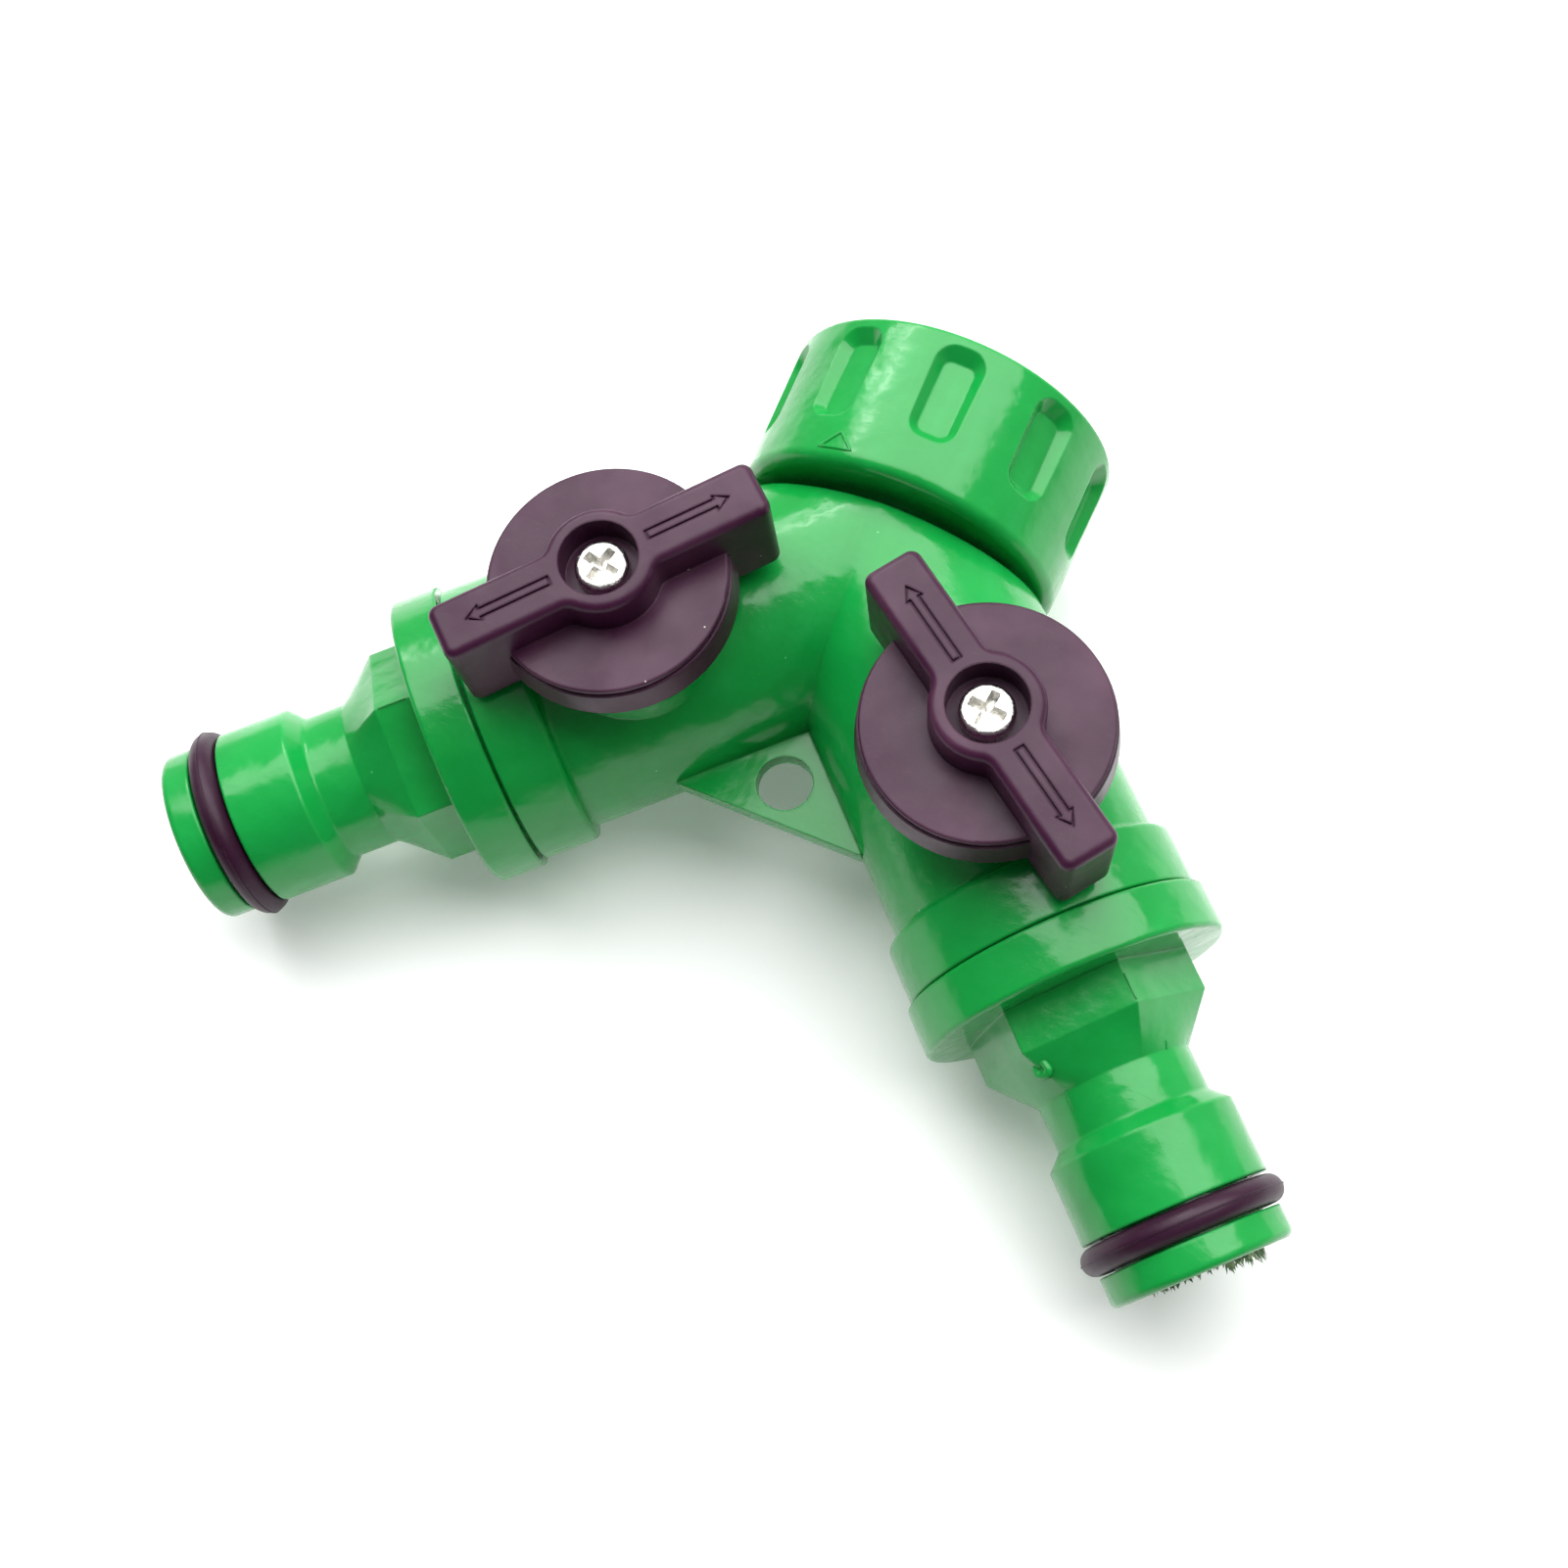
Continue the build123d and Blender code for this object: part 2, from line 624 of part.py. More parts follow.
def make_handle(name, side):
    """Round handle with a raised lever bar, a hub well for the screw and a square socket."""
    turn = HANDLE_TURN[name]
    with BuildPart() as handle:
        # lever bar and hub ring, standing on the disc
        with BuildSketch(valve_plane(side, SOCKET_TOP_Z, turn)) as bar:
            Rectangle(2 * LEVER_HALF, LEVER_WIDTH)
            fillet(bar.vertices(), LEVER_CORNER)
            Circle(HUB_R)
            inner_corners = bar.vertices().filter_by(lambda v: v.center().length < HUB_R + EDGE)
            fillet(inner_corners, HUB_BLEND)
        extrude(amount=LEVER_TOP_Z - SOCKET_TOP_Z)
        fillet(handle.edges().group_by(Axis.Z)[-1], LEVER_EDGE)

        # disc and skirt, with a fine shadow groove between them
        with BuildSketch(valve_section(side)):
            add(
                outline(
                    (0, SKIRT_Z),
                    (SKIRT_R, SKIRT_Z, EDGE),
                    (SKIRT_TOP_R, RIM_Z - RIM_GROOVE),
                    (DISC_R - RIM_GROOVE, RIM_Z - RIM_GROOVE),
                    (DISC_R - RIM_GROOVE, RIM_Z),
                    (DISC_R, RIM_Z),
                    (DISC_R, DISC_TOP_Z, EDGE),
                    (0, DISC_TOP_Z),
                )
            )
        revolve(axis=valve_axis(side))

        # the lever's ends reach down past the disc and its skirt
        with BuildSketch(valve_plane(side, LEVER_BOTTOM_Z, turn)) as ends:
            Rectangle(2 * LEVER_HALF, LEVER_WIDTH)
            fillet(ends.vertices(), LEVER_CORNER)
            Circle(CAVITY_R, mode=Mode.SUBTRACT)
        extrude(amount=DISC_TOP_Z - LEVER_BOTTOM_Z)

        # hollow underside around the hub, with the moving stop rib opposite the open port's outlet
        with BuildSketch(valve_plane(side, SKIRT_Z)):
            Circle(CAVITY_R)
            Circle(HUB_R, mode=Mode.SUBTRACT)
        extrude(amount=CAVITY_TOP_Z - SKIRT_Z, mode=Mode.SUBTRACT)
        with BuildSketch(valve_plane(side, RIB_BOTTOM_Z)):
            add(ring_sector(STOP_INNER_R, STOP_OUTER_R, 180 + turn, RIB_SWEEP))
        extrude(amount=CAVITY_TOP_Z - RIB_BOTTOM_Z)

        # screw well, screw hole, square socket and the engraved arrows
        with BuildSketch(valve_plane(side, WELL_FLOOR_Z)):
            Circle(WELL_R)
        extrude(amount=LEVER_TOP_Z - WELL_FLOOR_Z, mode=Mode.SUBTRACT)
        with BuildSketch(valve_plane(side, SOCKET_TOP_Z)):
            Circle(SCREW_HOLE_R)
        extrude(amount=WELL_FLOOR_Z - SOCKET_TOP_Z, mode=Mode.SUBTRACT)
        with BuildSketch(valve_plane(side, SKIRT_Z, turn)):
            Rectangle(SOCKET, SOCKET)
        extrude(amount=SOCKET_TOP_Z - SKIRT_Z, mode=Mode.SUBTRACT)
        for direction in (-1, 1):
            with BuildSketch(valve_plane(side, LEVER_TOP_Z - ARROW_DEPTH, turn)):
                add(arrow_line(direction))
            extrude(amount=2 * ARROW_DEPTH, mode=Mode.SUBTRACT)
    save(handle, f"{name}_handle")


def make_handle_screw(name, side):
    """Pan-head screw with a cross recess."""
    top_z = WELL_FLOOR_Z + SCREW_HEAD_HEIGHT
    with BuildPart() as screw:
        with BuildSketch(valve_section(side)):
            add(
                outline(
                    (0, SCREW_TIP_Z),
                    (SCREW_TIP_R, SCREW_TIP_Z),
                    (SCREW_SHANK_R, SCREW_TIP_Z + SCREW_POINT),
                    (SCREW_SHANK_R, WELL_FLOOR_Z),
                    (SCREW_HEAD_R, WELL_FLOOR_Z),
                    (SCREW_HEAD_R, top_z, SCREW_HEAD_EDGE),
                    (0, top_z),
                )
            )
        revolve(axis=valve_axis(side))
        recess_turn = HANDLE_TURN[name] + RECESS_TURN
        for blade in (0, 90):
            with BuildSketch(valve_plane(side, top_z, recess_turn + blade)):
                Rectangle(RECESS_LENGTH, RECESS_WIDTH)
            extrude(amount=-RECESS_DEPTH, taper=RECESS_TAPER, mode=Mode.SUBTRACT)
    save(screw, f"{name}_handle_screw")


os.makedirs("parts", exist_ok=True)
make_body()
make_coupling_nut()
make_inlet_washer()
for side_name, side_sign in SIDES.items():
    make_outlet_connector(side_name, side_sign)
    nose_s = (GROOVE_BACK_S + GROOVE_FRONT_S) / 2
    nose_r = GROOVE_R + NOSE_RING_R
    joint_r = JOINT_GROOVE_R + JOINT_RING_R
    make_branch_ring(f"{side_name}_nose_o_ring", side_sign, nose_s, nose_r, NOSE_RING_R)
    make_branch_ring(f"{side_name}_joint_seal", side_sign, JOINT_GROOVE_S, joint_r, JOINT_RING_R)
    make_seat(f"{side_name}_inner_seat", side_sign, -1)
    make_seat(f"{side_name}_outer_seat", side_sign, 1)
    make_ball(side_name, side_sign)
    make_stem(side_name, side_sign)
    for seal_level in STEM_GROOVES_Z:
        make_stem_seal(side_name, side_sign, seal_level)
    make_handle(side_name, side_sign)
    make_handle_screw(side_name, side_sign)
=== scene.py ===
import json
from random import Random
from math import atan2, cos, pi, radians, sin

import bmesh
import bpy
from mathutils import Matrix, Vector


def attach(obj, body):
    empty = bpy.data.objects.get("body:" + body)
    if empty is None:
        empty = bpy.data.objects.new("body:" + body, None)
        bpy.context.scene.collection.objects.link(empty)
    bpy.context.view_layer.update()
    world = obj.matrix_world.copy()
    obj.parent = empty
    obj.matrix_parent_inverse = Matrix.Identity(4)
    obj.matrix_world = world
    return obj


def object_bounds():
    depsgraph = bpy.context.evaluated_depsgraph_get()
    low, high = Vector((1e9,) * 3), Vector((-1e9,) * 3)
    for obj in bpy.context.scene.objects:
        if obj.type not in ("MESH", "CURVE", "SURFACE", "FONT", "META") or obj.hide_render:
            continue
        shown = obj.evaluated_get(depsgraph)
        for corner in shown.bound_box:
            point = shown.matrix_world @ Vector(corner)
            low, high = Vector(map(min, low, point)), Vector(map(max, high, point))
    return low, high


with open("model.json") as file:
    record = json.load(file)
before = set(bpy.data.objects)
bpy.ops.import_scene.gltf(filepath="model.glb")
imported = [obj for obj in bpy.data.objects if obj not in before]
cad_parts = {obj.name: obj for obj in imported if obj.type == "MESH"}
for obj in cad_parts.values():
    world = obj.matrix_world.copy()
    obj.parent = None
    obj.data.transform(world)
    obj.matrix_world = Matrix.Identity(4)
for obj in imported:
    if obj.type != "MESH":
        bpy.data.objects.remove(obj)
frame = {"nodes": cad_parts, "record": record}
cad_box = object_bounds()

# Everything is in metres, in the part's own frame: +Y out of the inlet nut, +Z up to the handles,
# one branch to each side of -Y. Distances and radii on an Axis are in mm.
MM = 0.001
UP = Vector((0, 0, 1))
REACH = 60.0                 # mm, further from any axis than the object's outside
BEAD_STEPS = 8               # places along each straight stretch of a raised line
BEAD_ROUNDNESS = 3
EDGE_ROUNDING = 0.0003
EDGE_SAMPLES = 4

# Gate scar: (radius, height) in mm from its foot, over the rim and into its pit
GATE_PROFILE = [(1.0, -0.3), (0.95, 0.05), (0.75, 0.28), (0.55, 0.3), (0.38, 0.2), (0.25, 0.02)]
GATE_STEPS = 24
GATE_WOBBLE = 0.12           # unevenness of its radius
GATE_SEED = 5

# Shreds of flash round the right bore, in mm
FRAY_RADIUS = 5.3
FRAY_TUFTS = [(-90, -10, 60, 1.3), (-20, 70, 44, 0.5)]
FRAY_ROOT = 0.5              # how far a shred starts inside the mouth
FRAY_SCATTER = 0.12
FRAY_WIDTH = (0.20, 0.48)
FRAY_THICKNESS = 0.12
FRAY_SHORTEST = 0.25         # as a share of a tuft's length
FRAY_LEAN = 0.6              # sideways, as a share of a shred's length
FRAY_TAPER = 0.75            # width halfway up, as a share of the root's
FRAY_SEED = 11

# Raised lines left by the moulds: radii in mm, and places round a hoop
NUT_MARK_RADIUS = 0.17
RIDGE_RADIUS = 0.10
TICK_RADIUS = 0.09
NECK_RIDGE_RADIUS = 0.07
HOOP_STEPS = 72

# Camera
CAMERA_PLACE = Vector((0.03501, -0.07611, 0.15935))
CAMERA_TURN = (radians(18.49), radians(5.319), radians(23.935))
CAMERA_LENS = 40.508
CAMERA_NEAR = 0.01

# Sockets of a Mix node that blends colours
COLOUR_A = 6
COLOUR_B = 7
COLOUR_RESULT = 2

# Linear colours
GREEN_LIT = (0.0065, 0.315, 0.052)
GREEN_DEEP = (0.004, 0.255, 0.038)
GREEN_PALE = (0.020, 0.38, 0.090)
PURPLE_BLACK = (0.036, 0.005, 0.025)
PURPLE_WORN = (0.110, 0.042, 0.080)
RUBBER_BLACK = (0.026, 0.003, 0.018)
RUBBER_DUST = (0.075, 0.035, 0.060)
SPECK_GREEN = (0.10, 0.50, 0.20)
SPECK_WHITE = (0.50, 0.46, 0.44)
FRAYED_PALE = (0.36, 0.48, 0.25)
FRAYED_DARK = (0.05, 0.17, 0.05)
ZINC = (0.80, 0.79, 0.76)
ZINC_DULL = (0.52, 0.51, 0.48)
PTFE_WHITE = (0.86, 0.86, 0.84)
PTFE_SHADE = (0.74, 0.74, 0.71)
ACETAL_WHITE = (0.78, 0.78, 0.75)
ACETAL_SHADE = (0.68, 0.68, 0.64)
FLOOR_WHITE = (0.95, 0.95, 0.95)
FLOOR_TOOTH = (0.97, 0.97, 0.97)
PURE_WHITE = (1, 1, 1, 1)

# Floor, and the world's strength on the camera's side and beyond the nut, with where it changes
FLOOR_HALF = 30.0
FLOOR_GRID = 8
FLOOR_GLOW = 0.16
ROOM_NEAR = 0.10
ROOM_FAR = 0.85
ROOM_CHANGE = (-0.6, 1.0)


class Shader:
    """A node material on one Principled shader, with short calls for the textures it uses.

    Textures are sized by their repeats per metre.
    """

    def __init__(self, name):
        self.material = bpy.data.materials.new(name)
        self.material.use_nodes = True
        self.nodes = self.material.node_tree.nodes
        self.links = self.material.node_tree.links
        self.surface = self.nodes["Principled BSDF"]
        self.place = self.nodes.new("ShaderNodeTexCoord").outputs["Object"]

    def set(self, **values):
        """Sets plain values on the shader; an underscore stands for a space in a socket's name."""
        for socket, value in values.items():
            self.surface.inputs[socket.replace("_", " ")].default_value = value

    def stretched(self, scale, turn=(0, 0, 0)):
        """Object coordinates turned and scaled, for streaks."""
        mapping = self.nodes.new("ShaderNodeMapping")
        mapping.inputs["Scale"].default_value = scale
        mapping.inputs["Rotation"].default_value = turn
        self.links.new(self.place, mapping.inputs["Vector"])
        return mapping.outputs["Vector"]

    def noise(self, per_metre, detail=3, distortion=0.0, place=None):
        """Cloudy value from 0 to 1, in object coordinates unless another place is given."""
        texture = self.nodes.new("ShaderNodeTexNoise")
        texture.inputs["Scale"].default_value = per_metre
        texture.inputs["Detail"].default_value = detail
        texture.inputs["Distortion"].default_value = distortion
        self.links.new(place or self.place, texture.inputs["Vector"])
        return texture.outputs["Fac"]

    def ramp(self, value, low, high, dark=0.0, light=1.0):
        """value, spread so that low becomes dark and high becomes light."""
        spread = self.nodes.new("ShaderNodeMapRange")
        spread.inputs["From Min"].default_value = low
        spread.inputs["From Max"].default_value = high
        spread.inputs["To Min"].default_value = dark
        spread.inputs["To Max"].default_value = light
        self.links.new(value, spread.inputs["Value"])
        return spread.outputs["Result"]

    def mix(self, factor, first, second):
        """Colour between two colours, either of which may be another mix."""
        blend = self.nodes.new("ShaderNodeMix")
        blend.data_type = "RGBA"
        self.links.new(factor, blend.inputs["Factor"])
        for socket, colour in ((blend.inputs[COLOUR_A], first), (blend.inputs[COLOUR_B], second)):
            if isinstance(colour, tuple):
                socket.default_value = (*colour, 1)
            else:
                self.links.new(colour, socket)
        return blend.outputs[COLOUR_RESULT]

    def specks(self, per_metre, size):
        """Sparse round specks of dust, 1 inside a speck and 0 outside; size is a share of a cell."""
        cells = self.nodes.new("ShaderNodeTexVoronoi")
        cells.inputs["Scale"].default_value = per_metre
        cells.inputs["Randomness"].default_value = 1.0
        self.links.new(self.place, cells.inputs["Vector"])
        return self.ramp(cells.outputs["Distance"], size, size * 1.5, 1.0, 0.0)

    def math(self, operation, first, second):
        """Arithmetic on two values, either of which may be a plain number."""
        node = self.nodes.new("ShaderNodeMath")
        node.operation = operation
        for socket, value in zip(node.inputs, (first, second)):
            if isinstance(value, (int, float)):
                socket.default_value = value
            else:
                self.links.new(value, socket)
        return node.outputs[0]

    def bump(self, *layers):
        """Rounds the moulded edges, then stacks bump layers, each a (height, depth in metres) pair."""
        rounding = self.nodes.new("ShaderNodeBevel")
        rounding.samples = EDGE_SAMPLES
        rounding.inputs["Radius"].default_value = EDGE_ROUNDING
        normal = rounding.outputs["Normal"]
        for height, depth in layers:
            node = self.nodes.new("ShaderNodeBump")
            node.inputs["Distance"].default_value = depth
            self.links.new(height, node.inputs["Height"])
            self.links.new(normal, node.inputs["Normal"])
            normal = node.outputs["Normal"]
        self.links.new(normal, self.surface.inputs["Normal"])

    def feed(self, socket, value):
        """Links a texture to one of the shader's sockets."""
        self.links.new(value, self.surface.inputs[socket])


def green_material():
    """Glossy polypropylene: slow colour drift, flow streaks, waviness, orange peel, handling marks."""
    s = Shader("green_moulded")
    drift = s.ramp(s.noise(per_metre=55), low=0.35, high=0.65)
    grain = s.stretched(scale=(1, 0.35, 1), turn=(0, 0, 0.6))
    flow = s.ramp(s.noise(per_metre=90, detail=5, distortion=2.5, place=grain), low=0.45, high=0.75)
    body = s.mix(drift, GREEN_DEEP, GREEN_LIT)
    streaked = s.mix(s.math("MULTIPLY", flow, 0.25), body, GREEN_PALE)
    s.feed("Base Color", s.mix(s.specks(per_metre=190, size=0.016), streaked, SPECK_GREEN))
    strokes = s.stretched(scale=(1, 6, 1), turn=(0, 0, 0.9))
    marks = s.ramp(s.noise(per_metre=700, detail=6, distortion=1.5, place=strokes), low=0.60, high=0.78)
    haze = s.ramp(s.noise(per_metre=160, detail=4), low=0.35, high=0.70, dark=0.12, light=0.20)
    s.feed("Roughness", s.math("ADD", haze, s.math("MULTIPLY", marks, 0.12)))
    s.bump(
        (s.noise(per_metre=130, detail=2), 0.00030),
        (s.noise(per_metre=300, detail=2), 0.00011),
        (s.noise(per_metre=1500), 0.000012),
        (marks, 0.000006),
    )
    s.set(IOR=1.42, Subsurface_Weight=0.12, Subsurface_Scale=0.0015, Subsurface_Radius=(0.15, 1.0, 0.3))
    return s.material


def dark_material(name, base, worn, roughness, grain_depth):
    """Satin purple-black polymer or rubber with fine grain, dusty scuffs and worn patches."""
    s = Shader(name)
    strokes = s.stretched(scale=(1, 4, 2), turn=(0, 0, 0.5))
    scuffs = s.ramp(s.noise(per_metre=900, detail=8, distortion=1.2, place=strokes), low=0.60, high=0.80)
    patches = s.ramp(s.noise(per_metre=140, detail=4), low=0.45, high=0.70)
    wear = s.math("MULTIPLY", s.math("MAXIMUM", scuffs, patches), 0.35)
    dusty = s.mix(wear, base, worn)
    s.feed("Base Color", s.mix(s.specks(per_metre=260, size=0.016), dusty, SPECK_WHITE))
    haze = s.noise(per_metre=260, detail=5)
    s.feed("Roughness", s.ramp(haze, low=0.3, high=0.7, dark=roughness - 0.07, light=roughness + 0.08))
    s.bump((s.noise(per_metre=2600), grain_depth), (s.noise(per_metre=200, detail=2), 0.00008))
    s.set(IOR=1.42, Specular_IOR_Level=0.36)
    return s.material


def zinc_material():
    """Bright zinc plating with an uneven coat and small duller pits."""
    s = Shader("zinc_plated")
    pits = s.ramp(s.noise(per_metre=2200, detail=5), low=0.55, high=0.75)
    s.feed("Base Color", s.mix(pits, ZINC, ZINC_DULL))
    haze = s.noise(per_metre=900, detail=4)
    s.feed("Roughness", s.ramp(haze, low=0.3, high=0.7, dark=0.14, light=0.34))
    s.bump((s.noise(per_metre=1300, detail=4), 0.00009), (pits, 0.00003))
    s.set(Metallic=1.0)
    return s.material


def frayed_material():
    """Stress-whitened shreds of the green plastic."""
    s = Shader("green_frayed")
    stress = s.ramp(s.noise(per_metre=1500), low=0.4, high=0.6)
    s.feed("Base Color", s.mix(stress, FRAYED_DARK, FRAYED_PALE))
    s.bump((s.noise(per_metre=4000), 0.00002))
    s.set(Roughness=0.55)
    return s.material


def white_material(name, base, shade, roughness):
    """Milky white engineering plastic, faintly cloudy and grained."""
    s = Shader(name)
    clouds = s.ramp(s.noise(per_metre=300, detail=4), low=0.35, high=0.7)
    s.feed("Base Color", s.mix(clouds, base, shade))
    haze = s.noise(per_metre=800, detail=4)
    s.feed("Roughness", s.ramp(haze, low=0.3, high=0.7, dark=roughness - 0.06, light=roughness + 0.06))
    s.bump((s.noise(per_metre=1800), 0.00001))
    s.set(Subsurface_Weight=0.1, Subsurface_Scale=0.001)
    return s.material


def floor_material():
    """Matt white diffusing sheet with a very faint tooth, lit a little from below."""
    s = Shader("floor_sheet")
    s.feed("Base Color", s.mix(s.noise(per_metre=40, detail=2), FLOOR_WHITE, FLOOR_TOOTH))
    s.bump((s.noise(per_metre=900, detail=2), 0.00001))
    s.set(Roughness=0.9, Emission_Color=PURE_WHITE, Emission_Strength=FLOOR_GLOW)
    return s.material


MATERIALS = {
    "green_plastic": green_material(),
    "dark_plastic": dark_material(
        "purple_black_moulded", PURPLE_BLACK, PURPLE_WORN, roughness=0.36, grain_depth=0.000010
    ),
    "seal_rubber": dark_material(
        "purple_black_rubber", RUBBER_BLACK, RUBBER_DUST, roughness=0.42, grain_depth=0.000012
    ),
    "zinc_steel": zinc_material(),
    "seat_plastic": white_material("ptfe", PTFE_WHITE, PTFE_SHADE, roughness=0.45),
    "white_plastic": white_material("acetal", ACETAL_WHITE, ACETAL_SHADE, roughness=0.35),
}
SLOT_OF = {part["node"]: part["material_slot"] for part in frame["record"]["subparts"]}
for node_name, node in frame["nodes"].items():
    for material_slot in node.material_slots:
        material_slot.material = MATERIALS[SLOT_OF[node_name]]


class Axis:
    """Places on the outside of a node, about the axis of one of the record's mounts.

    A place is a distance in mm along the axis, outwards from the mount, and an angle in degrees
    away from the top.
    """

    def __init__(self, mount_name, node_name, body, slot):
        mount = next(m for m in frame["record"]["mounts"] if m["name"] == mount_name)
        self.start = Vector(mount["pos_m"])
        self.along = Vector(mount["axis"])
        self.across = self.along.cross(UP)
        self.node = frame["nodes"][node_name]
        self.body = body
        self.slot = slot

    def away(self, angle):
        """Unit vector out of the axis at this angle."""
        return UP * cos(radians(angle)) + self.across * sin(radians(angle))

    def place(self, distance, radius, angle):
        """Place at this distance along the axis, radius from it and angle about it."""
        return self.start + self.along * distance * MM + self.away(angle) * radius * MM

    def middle(self):
        """Distance of the node's middle along the axis."""
        distances = [(v.co - self.start).dot(self.along) / MM for v in self.node.data.vertices]
        return (min(distances) + max(distances)) / 2

    def surface(self, distance, angle):
        """Outermost place of the node at this distance and angle."""
        origin = self.place(distance, REACH, angle)
        hit, found, _, _ = self.node.ray_cast(origin, -self.away(angle))
        if not hit:
            raise ValueError(f"nothing of {self.node.name} at {distance} mm, {angle} degrees")
        return found

    def own(self, piece, material=None):
        """Gives the new piece its material, by default the one of its slot, and its body."""
        piece.data.materials.append(material or MATERIALS[self.slot])
        bpy.context.scene.collection.objects.link(piece)
        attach(piece, self.body)

    def bead(self, name, radius, corners, closed=False):
        """Raised line on the surface through the corners, each (distance, angle), half sunk."""
        ends = corners[1:] + corners[:1] if closed else corners[1:]
        places = []
        for (d0, a0), (d1, a1) in zip(corners, ends):
            for step in range(BEAD_STEPS):
                share = step / BEAD_STEPS
                places.append(self.surface(d0 + (d1 - d0) * share, a0 + (a1 - a0) * share))
        if not closed:
            places.append(self.surface(*corners[-1]))
        self.line(name, radius, places, closed)

    def hoop(self, name, radius, distance):
        """Raised line all the way round the node, half sunk."""
        angles = [360 * step / HOOP_STEPS for step in range(HOOP_STEPS)]
        self.line(name, radius, [self.surface(distance, angle) for angle in angles], closed=True)

    def line(self, name, radius, places, closed):
        """Round line of this radius through the places."""
        curve = bpy.data.curves.new(name, "CURVE")
        curve.dimensions = "3D"
        curve.bevel_depth = radius * MM
        curve.bevel_resolution = BEAD_ROUNDNESS
        curve.use_fill_caps = True
        line = curve.splines.new("POLY")
        line.points.add(len(places) - 1)
        line.use_cyclic_u = closed
        for point, place in zip(line.points, places):
            point.co = (*place, 1)
        self.own(bpy.data.objects.new(name, curve))

    def mesh(self, name, vertices, faces, smooth=True, material=None):
        """New piece from these vertices and faces."""
        data = bpy.data.meshes.new(name)
        data.from_pydata(vertices, [], faces)
        if smooth:
            data.shade_smooth()
        self.own(bpy.data.objects.new(name, data), material)

    def gate_mark(self, name, distance, angle, profile):
        """Small round moulding-gate scar with a pit, spun from (radius, height) pairs in mm."""
        chance = Random(GATE_SEED)
        foot = self.surface(distance, angle)
        normal = self.away(angle)
        side = normal.cross(self.along).normalized()
        wobble = [1 + chance.uniform(-GATE_WOBBLE, GATE_WOBBLE) for _ in range(GATE_STEPS)]
        vertices = []
        for radius, height in profile:
            for step in range(GATE_STEPS):
                turn = 2 * pi * step / GATE_STEPS
                reach = radius * MM * (wobble[step] + wobble[step - 1]) / 2
                vertices.append(foot + self.along * cos(turn) * reach + side * sin(turn) * reach
                                + normal * height * MM)
        faces = []
        for low in range(0, (len(profile) - 1) * GATE_STEPS, GATE_STEPS):
            high = low + GATE_STEPS
            for step in range(GATE_STEPS):
                after = (step + 1) % GATE_STEPS
                faces.append((low + step, low + after, high + after, high + step))
        faces.append(tuple(reversed(range(GATE_STEPS))))
        faces.append(tuple(range(len(vertices) - GATE_STEPS, len(vertices))))
        self.mesh(name, vertices, faces)

    def shred(self, chance, radius, angle, length):
        """Nine corners of one splinter: four at its root, four halfway up, and its tip."""
        away = self.away(angle)
        sideways = self.along.cross(away)
        root = self.place(-FRAY_ROOT, radius + chance.uniform(-FRAY_SCATTER, FRAY_SCATTER), angle)
        lean = sideways * chance.uniform(-FRAY_LEAN, FRAY_LEAN)
        lean += away * chance.uniform(-FRAY_LEAN, FRAY_LEAN) / 2
        reach = (FRAY_ROOT + length * chance.uniform(FRAY_SHORTEST, 1.0)) * MM
        tip = root + (self.along + lean).normalized() * reach
        wide = sideways * chance.uniform(*FRAY_WIDTH) / 2 * MM
        thick = away * FRAY_THICKNESS / 2 * MM
        middle = (root + tip) / 2 + sideways * chance.uniform(-FRAY_SCATTER, FRAY_SCATTER) * MM
        corners = []
        for place, share in ((root, 1.0), (middle, FRAY_TAPER)):
            corners += [
                place - wide * share - thick,
                place + wide * share - thick,
                place + wide * share + thick,
                place - wide * share + thick,
            ]
        return [*corners, tip]

    def frayed_rim(self, name, radius, tufts):
        """Shreds of flash round a bore's mouth; tufts are (low angle, high angle, count, length)."""
        chance = Random(FRAY_SEED)
        vertices = []
        faces = []
        for low, high, count, length in tufts:
            for _ in range(count):
                first = len(vertices)
                vertices += self.shred(chance, radius, chance.uniform(low, high), length)
                faces.append((first, first + 1, first + 2, first + 3))
                for side in range(4):
                    after = (side + 1) % 4
                    faces.append((first + 4 + side, first + 4 + after, first + after, first + side))
                    faces.append((first + 8, first + 4 + after, first + 4 + side))
        self.mesh(name, vertices, faces, smooth=False, material=frayed_material())


def add_moulding_marks():
    """Raised triangle on the nut, and the gate scar, flash and parting ridges left by the moulds."""
    nut = Axis("inlet_thread", "coupling_nut", "nut", "green_plastic")
    corners = [(-4.1, -20.3), (-5.8, -26.2), (-5.8, -14.4)]
    nut.bead("nut_turn_mark", NUT_MARK_RADIUS, corners, closed=True)
    right = Axis("right_quick_connect_nose", "right_outlet_connector", "casing", "green_plastic")
    right.gate_mark("right_gate_scar", -20.3, 42.8, GATE_PROFILE)
    right.bead("right_parting_ridge", RIDGE_RADIUS, [(-24.6, -17.0), (-22.2, -17.0)])
    right.bead("right_parting_tick", TICK_RADIUS, [(-18.6, -38.0), (-17.9, -38.0)])
    right.bead("right_neck_ridge", NECK_RIDGE_RADIUS, [(-18.0, 43.5), (-16.2, 44.5)])
    right.frayed_rim("right_bore_flash", FRAY_RADIUS, FRAY_TUFTS)
    left = Axis("left_quick_connect_nose", "left_outlet_connector", "casing", "green_plastic")
    left.bead("left_parting_ridge", RIDGE_RADIUS, [(-25.0, 5.5), (-22.3, 5.5)])
    for side in ("left", "right"):
        ring = Axis(f"{side}_quick_connect_nose", f"{side}_nose_o_ring", "casing", "seal_rubber")
        ring.hoop(f"{side}_o_ring_parting", RIDGE_RADIUS, ring.middle())


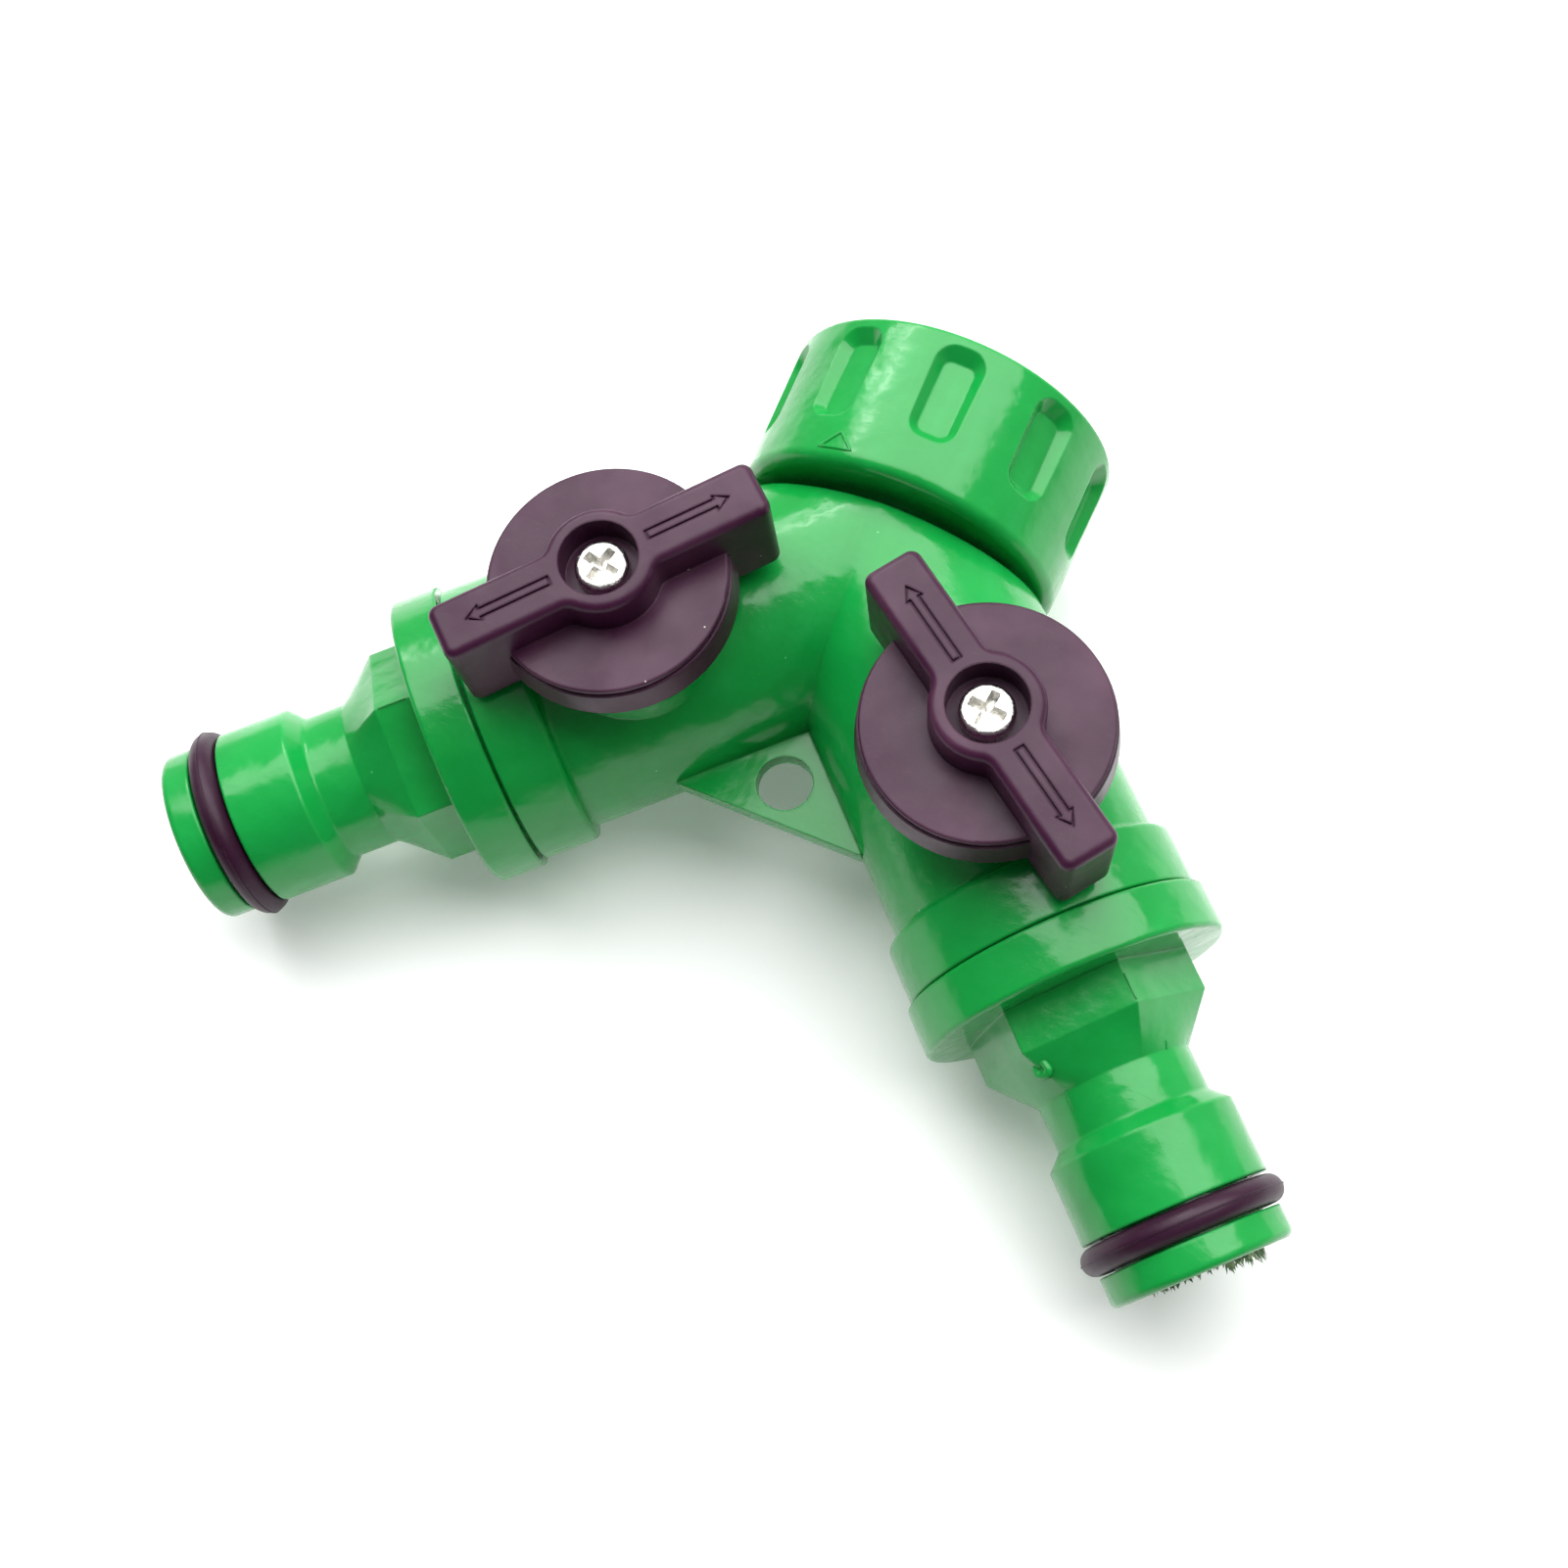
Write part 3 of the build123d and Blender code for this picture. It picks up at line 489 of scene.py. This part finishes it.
def resting_line():
    """Line in the YZ plane, as (y, z, slope), that the object lies on: the nut and both flanges."""
    corners = sorted({(v.co.y, v.co.z) for node in frame["nodes"].values() for v in node.data.vertices})
    hull = []
    for y, z in corners:
        while len(hull) > 1:
            (ay, az), (by, bz) = hull[-2:]
            if (by - ay) * (z - az) > (bz - az) * (y - ay):
                break
            hull.pop()
        hull.append((y, z))
    middle = (cad_box[0].y + cad_box[1].y) / 2
    for (ay, az), (by, bz) in zip(hull, hull[1:]):
        if ay <= middle <= by:
            return ay, az, (bz - az) / (by - ay)
    raise ValueError("the object has no resting line")


def make_floor():
    """Plain white floor, large enough to fill the view, under the nut and the flanges."""
    y, z, slope = resting_line()
    mesh = bmesh.new()
    bmesh.ops.create_grid(mesh, x_segments=FLOOR_GRID, y_segments=FLOOR_GRID, size=FLOOR_HALF)
    data = bpy.data.meshes.new("floor")
    mesh.to_mesh(data)
    mesh.free()
    floor = bpy.data.objects.new("floor", data)
    bpy.context.scene.collection.objects.link(floor)
    floor.rotation_euler = (atan2(slope, 1), 0, 0)
    floor.location = (0, y, z)
    data.materials.append(floor_material())


def direction(azimuth, elevation):
    """Unit vector; azimuth in degrees from +Y towards +X, elevation above the horizon."""
    flat = cos(radians(elevation))
    return Vector((flat * sin(radians(azimuth)), flat * cos(radians(azimuth)), sin(radians(elevation))))


def make_world():
    """Room light: dim on the camera's side, brighter beyond the nut."""
    world = bpy.data.worlds.new("studio")
    world.use_nodes = True
    nodes = world.node_tree.nodes
    links = world.node_tree.links
    split = nodes.new("ShaderNodeSeparateXYZ")
    links.new(nodes.new("ShaderNodeTexCoord").outputs["Generated"], split.inputs[0])
    blend = nodes.new("ShaderNodeMapRange")
    blend.inputs["From Min"].default_value = ROOM_CHANGE[0]
    blend.inputs["From Max"].default_value = ROOM_CHANGE[1]
    blend.inputs["To Min"].default_value = ROOM_NEAR
    blend.inputs["To Max"].default_value = ROOM_FAR
    links.new(split.outputs["Y"], blend.inputs["Value"])
    links.new(blend.outputs["Result"], nodes["Background"].inputs["Strength"])
    nodes["Background"].inputs["Color"].default_value = PURE_WHITE
    bpy.context.scene.world = world


def add_softbox(name, azimuth, elevation, distance, width, height, radiance):
    """Rectangular softbox facing the object, its width level."""
    light = bpy.data.lights.new(name, "AREA")
    light.shape = "RECTANGLE"
    light.size = width
    light.size_y = height
    light.energy = pi * width * height * radiance
    lamp = bpy.data.objects.new(name, light)
    away = direction(azimuth, elevation)
    lamp.location = (cad_box[0] + cad_box[1]) / 2 + away * distance
    lamp.rotation_euler = away.to_track_quat("Z", "Y").to_euler()
    bpy.context.scene.collection.objects.link(lamp)


def make_lights():
    """Large softbox overhead, and a window of two panes low on the left beyond the nut."""
    make_world()
    add_softbox("overhead", -8, 66, distance=0.36, width=0.60, height=0.34, radiance=4.4)
    for name, elevation in (("window_upper", 42), ("window_lower", 33)):
        add_softbox(name, -42, elevation, distance=0.8, width=0.30, height=0.06, radiance=10.0)


def make_camera():
    """Looks down at the object from above the V between its branches."""
    camera = bpy.data.cameras.new("camera")
    camera.lens = CAMERA_LENS
    camera.clip_start = CAMERA_NEAR
    holder = bpy.data.objects.new("camera", camera)
    holder.location = CAMERA_PLACE
    holder.rotation_euler = CAMERA_TURN
    bpy.context.scene.collection.objects.link(holder)
    bpy.context.scene.camera = holder


add_moulding_marks()
make_floor()
make_lights()
make_camera()
bpy.context.scene.view_settings.view_transform = "Standard"
